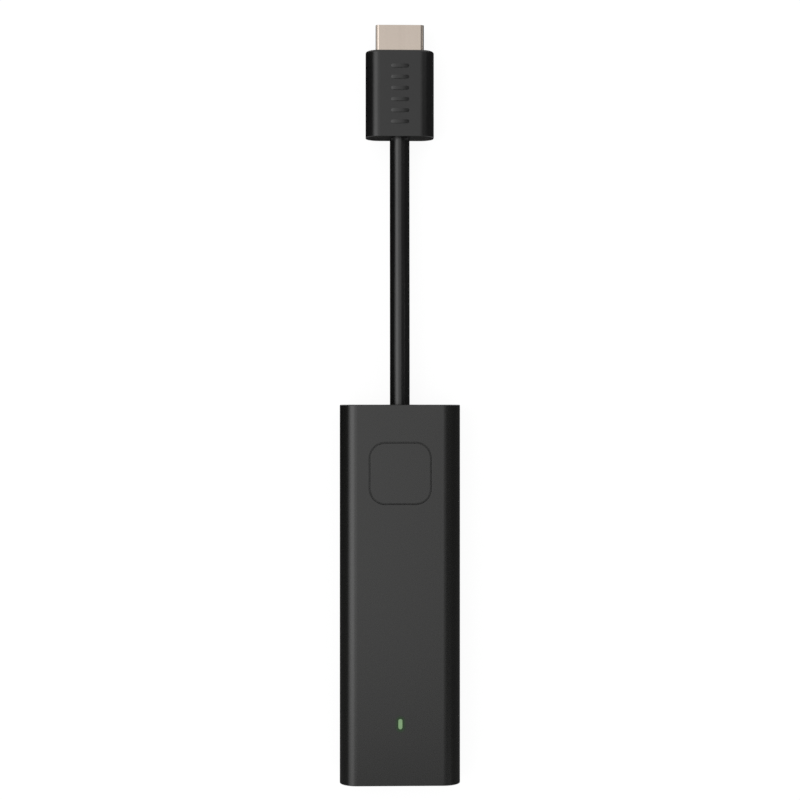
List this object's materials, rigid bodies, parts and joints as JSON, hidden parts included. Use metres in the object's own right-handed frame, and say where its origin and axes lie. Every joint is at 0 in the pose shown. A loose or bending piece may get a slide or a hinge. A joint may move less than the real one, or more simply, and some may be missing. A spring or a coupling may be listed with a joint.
{
  "type": "streaming stick",
  "caption": "Slim black streaming stick with a square button and a green status light on its front, a power socket in one end and a captive cable with a video plug at the other.",
  "frame": {"origin": "middle of the case's footprint, on the surface that the stick lies on", "axes": "+X across the case, +Y along the case towards the cable and the plug, +Z from the back of the case to its front, up"},
  "size_m": [0.0346, 0.2183, 0.013],
  "materials": {
    "case_plastic": "fine satin moulding, black",
    "button_plastic": "fine satin moulding, black",
    "plug_plastic": "fine satin moulding, black",
    "cable_jacket": "smooth extruded, black",
    "light_pipe": "clear moulding, lit green",
    "black_screw": "black oxide",
    "plated_screw": "zinc plated",
    "circuit_board": "green solder mask",
    "chip_mould": "moulded, charcoal",
    "coil_ferrite": "pressed powder, grey",
    "capacitor_ceramic": "fired, tan",
    "led_package": "white package",
    "plated_sheet": "tin plated sheet",
    "socket_steel": "drawn steel",
    "thermal_pad": "soft filled silicone, grey blue",
    "heat_aluminium": "rolled sheet",
    "black_nylon": "moulded, black",
    "ivory_nylon": "moulded, ivory",
    "switch_stem_plastic": "moulded, dark grey",
    "gold_contact": "gold plated",
    "tinned_braid": "tinned copper weave",
    "pair_foil": "foil wrap",
    "wire_cover": "coloured insulation",
    "plug_nickel": "warm satin nickel"
  },
  "bodies": {
    "case": {"front_cover": "case_plastic", "rear_cover": "case_plastic", "case_screws": "black_screw", "led_light_pipe": "light_pipe", "main_board": "circuit_board", "system_chip": "chip_mould", "memory_chips": "chip_mould", "flash_chip": "chip_mould", "power_chip": "chip_mould", "power_coils": "coil_ferrite", "wireless_module": "plated_sheet", "clock_crystal": "plated_sheet", "capacitors": "capacitor_ceramic", "status_led": "led_package", "antenna_left": "plated_sheet", "antenna_right": "plated_sheet", "shield_frame": "plated_sheet", "shield_lid": "plated_sheet", "chip_thermal_pad": "thermal_pad", "spreader_thermal_pad": "thermal_pad", "heat_spreader": "heat_aluminium", "rear_shield_can": "plated_sheet", "rear_thermal_pad": "thermal_pad", "rear_heat_plate": "heat_aluminium", "switch_body": "black_nylon", "switch_cover": "plated_sheet", "switch_dome": "plated_sheet", "switch_terminals": "plated_sheet", "power_socket_shell": "socket_steel", "power_socket_base": "black_nylon", "power_socket_tongue": "black_nylon", "power_socket_contacts": "gold_contact", "video_cable": "cable_jacket", "cable_tail": "cable_jacket", "cable_braid": "tinned_braid", "cable_grommet": "cable_jacket", "cable_clamp": "plated_sheet", "clamp_screws": "plated_screw", "cable_header": "ivory_nylon", "signal_pairs": "pair_foil", "control_wires": "wire_cover", "plug_housing": "plug_plastic", "plug_shell": "plug_nickel", "plug_insulator": "black_nylon", "plug_upper_contacts": "gold_contact", "plug_lower_contacts": "gold_contact", "plug_shield_cover": "plated_sheet", "plug_inner_mould": "ivory_nylon", "plug_conductors": "wire_cover", "plug_cable_tail": "cable_jacket", "plug_crimp_ring": "plated_sheet"},
    "button": {"button_cap": "button_plastic"},
    "switch_plunger": {"switch_stem": "switch_stem_plastic"}
  },
  "joints": [
    {"name": "button_press", "type": "slide", "parent": "case", "child": "button", "axis": [0, 0, -1], "range_m": [0, 0.00035], "stiffness_N_per_m": 500},
    {"name": "switch_press", "type": "slide", "parent": "case", "child": "switch_plunger", "axis": [0, 0, -1], "range_m": [0, 0.00035], "deforming": ["switch_dome"]}
  ],
  "couplings": [
    {"joint": "switch_press", "follows": "button_press", "ratio": 1}
  ]
}
